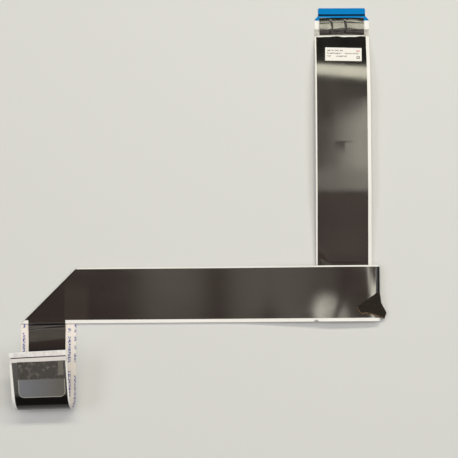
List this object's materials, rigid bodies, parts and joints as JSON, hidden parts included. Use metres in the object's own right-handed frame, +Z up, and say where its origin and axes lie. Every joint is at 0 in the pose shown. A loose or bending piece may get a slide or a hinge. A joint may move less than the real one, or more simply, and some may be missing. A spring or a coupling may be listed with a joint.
{
  "type": "flat ribbon cable",
  "caption": "Flat flexible ribbon cable with black shield film, blue stiffened contact ends, two flat corner folds, a hairpin and a curled end, linking a board to a display panel.",
  "frame": {"origin": "on the table, under the middle of the folded cable's box", "axes": "+Y along the drop, towards the tip of the panel end; +X along the long run, from the curled end to the hairpin; +Z up from the table"},
  "size_m": [0.1992, 0.2202, 0.0223],
  "materials": {
    "white_laminate": "white polyester film, smooth",
    "shield_film": "brown-black shield film, half gloss, scuffed",
    "tinned_copper": "dull tin plating",
    "blue_stiffener": "blue polyester, smooth",
    "glossy_tape": "black foil tape, glossy and wrinkled",
    "label_film": "white label, matt",
    "film_tape": "black film tape, half gloss",
    "cloth_tape": "black woven cloth, torn edge",
    "tab_film": "smoky polyester film, scuffed"
  },
  "bodies": {
    "root": {"ribbon": "white_laminate", "shield_film": "shield_film", "panel_contacts": "tinned_copper", "panel_stiffener": "blue_stiffener", "wrap_tape": "glossy_tape", "label": "label_film", "fold_tape": "film_tape", "corner_tape": "cloth_tape", "board_contacts": "tinned_copper", "board_stiffener": "blue_stiffener", "pull_tab": "tab_film"}
  },
  "joints": []
}
